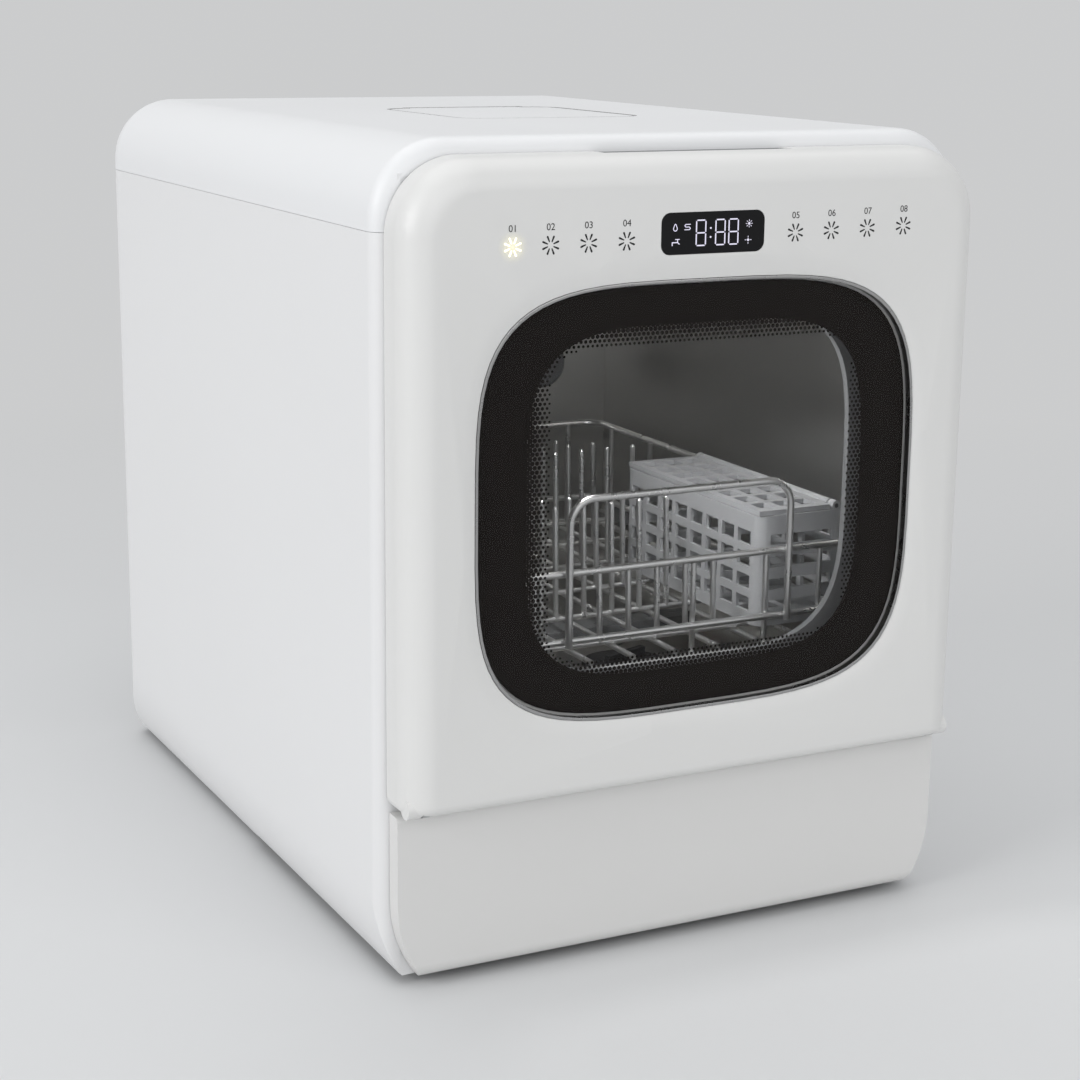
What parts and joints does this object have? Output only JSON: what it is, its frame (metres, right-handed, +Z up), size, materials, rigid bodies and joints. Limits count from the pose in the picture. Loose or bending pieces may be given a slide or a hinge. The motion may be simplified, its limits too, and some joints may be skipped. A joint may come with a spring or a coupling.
{
  "type": "countertop dishwasher",
  "caption": "Compact countertop dishwasher with a drop-down window door, a pull-out wire rack with a cutlery basket, a spray arm and a fill hatch on top.",
  "frame": {"origin": "middle of the footprint at the worktop", "axes": "+X to the right seen from the front, +Y from the door to the back, +Z up"},
  "size_m": [0.34, 0.49, 0.43],
  "materials": {
    "casing": "smooth satin plastic",
    "cover": "fine satin plastic",
    "door_skin": "smooth satin plastic",
    "tray": "moulded, matt",
    "soft": "matt rubber",
    "gasket": "matt rubber",
    "tub_steel": "bright rolled sheet",
    "frame_steel": "painted sheet",
    "pin_steel": "bright steel",
    "trim": "bright plated trim",
    "white_moulding": "moulded",
    "grey_moulding": "moulded",
    "dark_moulding": "moulded",
    "basket_moulding": "moulded",
    "tank": "cloudy blow-moulded plastic",
    "board": "circuit board",
    "lamp": "frosted lens",
    "tinted_glass": "grey tint, polished",
    "clear_glass": "clear, polished",
    "border_print": "black border behind the glass",
    "display": "black, polished",
    "rack_wire": "bright coated wire"
  },
  "bodies": {
    "cabinet": {"left_panel": "casing", "right_panel": "casing", "top_cover": "cover", "back_panel": "cover", "back_screws": "pin_steel", "kick_panel": "cover", "base_tray": "tray", "feet": "soft", "front_frame": "frame_steel", "tub": "tub_steel", "door_gasket": "gasket", "hinge_left": "frame_steel", "hinge_right": "frame_steel", "latch_block": "white_moulding", "hatch_rim": "trim", "hatch_pin": "pin_steel", "fill_funnel": "grey_moulding", "water_tank": "tank", "inlet_valve": "white_moulding", "drain_port": "grey_moulding", "drain_hose": "soft", "cord_gland": "soft", "sump": "grey_moulding", "filter_plate": "tub_steel", "wash_pump": "dark_moulding", "wash_pipe": "grey_moulding", "drain_pump": "dark_moulding", "heater": "tub_steel", "float_switch": "white_moulding", "power_board": "board", "drying_fan": "dark_moulding", "air_duct": "grey_moulding", "rack_rails": "tub_steel", "interior_lamp": "lamp"},
    "door": {"door_shell": "door_skin", "door_liner": "grey_moulding", "outer_glass": "tinted_glass", "glass_border": "border_print", "glass_trim": "trim", "inner_glass": "clear_glass", "display_window": "display", "touch_board": "board", "handle_liner": "grey_moulding", "latch_strike": "pin_steel", "hinge_pins": "pin_steel", "detergent_box": "white_moulding"},
    "soap_lid": {"detergent_lid": "grey_moulding"},
    "rack": {"rack_frame": "rack_wire", "rack_rim": "rack_wire", "rack_floor": "rack_wire", "tine_rows": "rack_wire", "rack_handle": "rack_wire", "rack_glides": "grey_moulding"},
    "basket": {"cutlery_basket": "basket_moulding", "lid_pin": "pin_steel"},
    "basket_lid": {"cutlery_lid": "basket_moulding"},
    "spray_arm": {"spray_arm": "grey_moulding"},
    "filter": {"filter_cup": "dark_moulding"},
    "fill_lid": {"hatch_lid": "cover", "hatch_seal": "soft"}
  },
  "joints": [
    {"name": "door_hinge", "type": "hinge", "parent": "cabinet", "child": "door", "pos_m": [0, -0.236, 0.103], "axis": [1, 0, 0], "range_deg": [0, 90]},
    {"name": "rack_slide", "type": "slide", "parent": "cabinet", "child": "rack", "axis": [0, -1, 0], "range_m": [0, 0.0817]},
    {"name": "basket_lift", "type": "slide", "parent": "rack", "child": "basket", "axis": [0, 0, 1], "range_m": [0, 0.1]},
    {"name": "basket_lid_hinge", "type": "hinge", "parent": "basket", "child": "basket_lid", "pos_m": [0.1178, -0.116, 0.2225], "axis": [0, 1, 0], "range_deg": [0, 95]},
    {"name": "filter_twist", "type": "hinge", "parent": "cabinet", "child": "filter", "pos_m": [0.052, -0.071, 0.1], "axis": [0, 0, 1], "range_deg": [0, 45]},
    {"name": "spray_spin", "type": "hinge", "parent": "cabinet", "child": "spray_arm", "pos_m": [0, -0.038, 0.118], "axis": [0, 0, 1], "continuous": true},
    {"name": "fill_lid_hinge", "type": "hinge", "parent": "cabinet", "child": "fill_lid", "pos_m": [0.005, 0.0613, 0.4281], "axis": [-1, 0, 0], "range_deg": [0, 95]},
    {"name": "soap_slide", "type": "slide", "parent": "door", "child": "soap_lid", "axis": [1, 0, 0], "range_m": [0, 0.034]}
  ],
  "couplings": [
    {"joint": "rack_slide", "follows": "door_hinge", "m_per_rad": 0.052}
  ]
}
